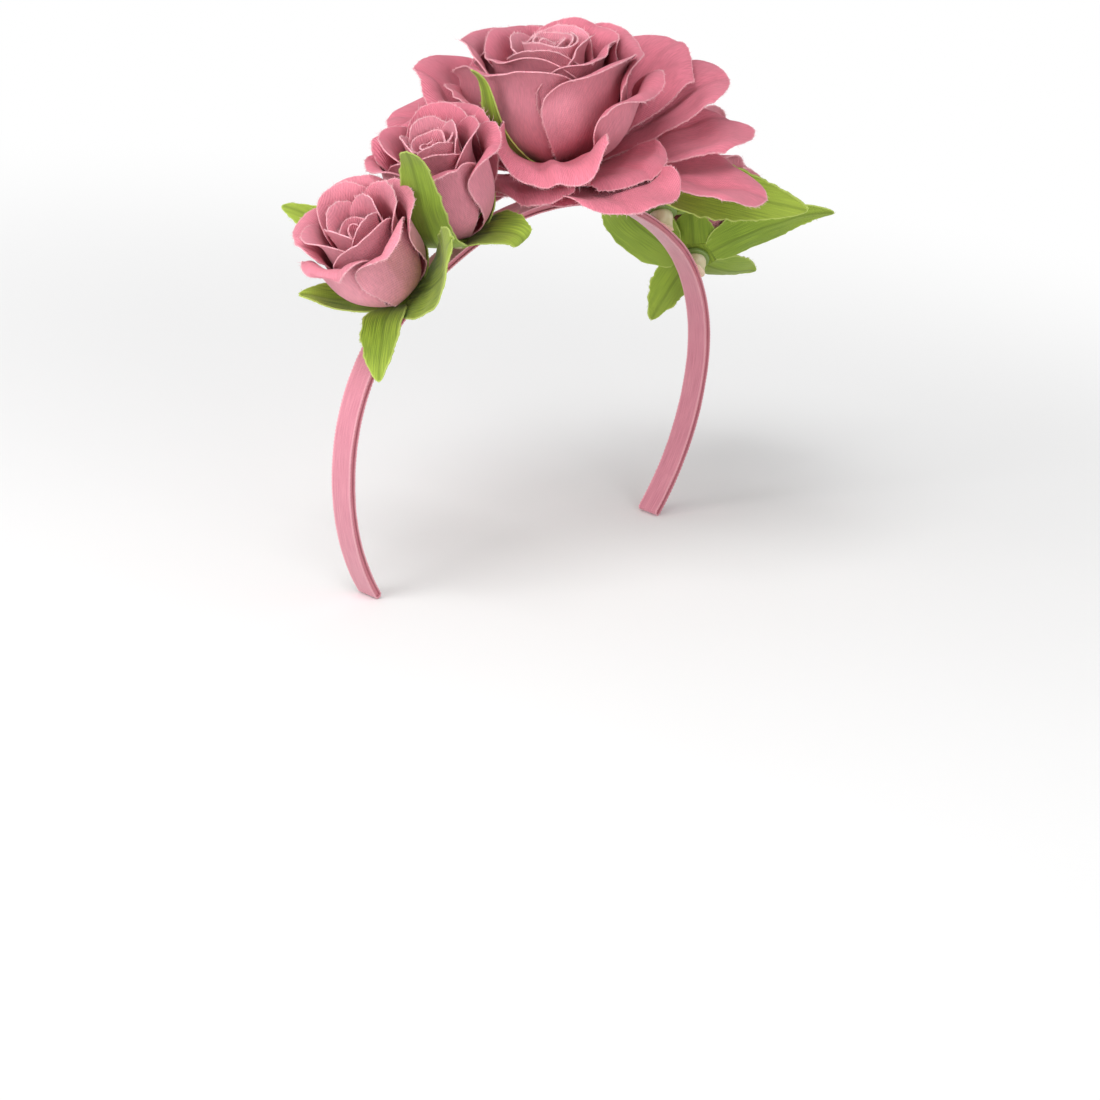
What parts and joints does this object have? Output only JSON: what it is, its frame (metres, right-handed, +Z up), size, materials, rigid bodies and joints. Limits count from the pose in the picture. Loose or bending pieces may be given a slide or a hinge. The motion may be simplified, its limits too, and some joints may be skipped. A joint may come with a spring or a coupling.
{
  "type": "flower crown headband",
  "caption": "Narrow ribbon-covered headband carrying a row of fabric roses, an opened one at the top with smaller ones and buds down both sides",
  "frame": {"origin": "the crown seat: the highest point of the band's inner face, half way across its width", "axes": "+Z up from the seat through the large rose's foot, the band in the XZ plane with its arms down, -X to the wearer's right and -Y the way the wearer looks"},
  "size_m": [0.2007, 0.1005, 0.1615],
  "materials": {
    "petal_cloth": "stiffened twill, matt",
    "leaf_cloth": "stiffened cloth, matt",
    "ribbon_satin": "satin",
    "core_plastic": "moulded",
    "cup_plastic": "moulded",
    "hot_glue": "waxy"
  },
  "bodies": {
    "root": {"band_core": "core_plastic", "glue_pads": "hot_glue", "inner_ribbon": "ribbon_satin", "large_rose_calyx": "leaf_cloth", "large_rose_cup": "cup_plastic", "large_rose_heart": "petal_cloth", "large_rose_leaf": "leaf_cloth", "large_rose_petals_1": "petal_cloth", "large_rose_petals_2": "petal_cloth", "large_rose_petals_3": "petal_cloth", "large_rose_petals_4": "petal_cloth", "large_rose_petals_5": "petal_cloth", "large_rose_petals_6": "petal_cloth", "large_rose_petals_7": "petal_cloth", "left_bud_calyx": "leaf_cloth", "left_bud_cup": "cup_plastic", "left_bud_heart": "petal_cloth", "left_bud_petals_1": "petal_cloth", "left_bud_petals_2": "petal_cloth", "left_bud_petals_3": "petal_cloth", "left_rose_calyx": "leaf_cloth", "left_rose_cup": "cup_plastic", "left_rose_heart": "petal_cloth", "left_rose_petals_1": "petal_cloth", "left_rose_petals_2": "petal_cloth", "left_rose_petals_3": "petal_cloth", "outer_ribbon": "ribbon_satin", "right_bud_calyx": "leaf_cloth", "right_bud_cup": "cup_plastic", "right_bud_heart": "petal_cloth", "right_bud_petals_1": "petal_cloth", "right_bud_petals_2": "petal_cloth", "right_bud_petals_3": "petal_cloth", "right_rose_calyx": "leaf_cloth", "right_rose_cup": "cup_plastic", "right_rose_heart": "petal_cloth", "right_rose_petals_1": "petal_cloth", "right_rose_petals_2": "petal_cloth", "right_rose_petals_3": "petal_cloth"}
  },
  "joints": []
}
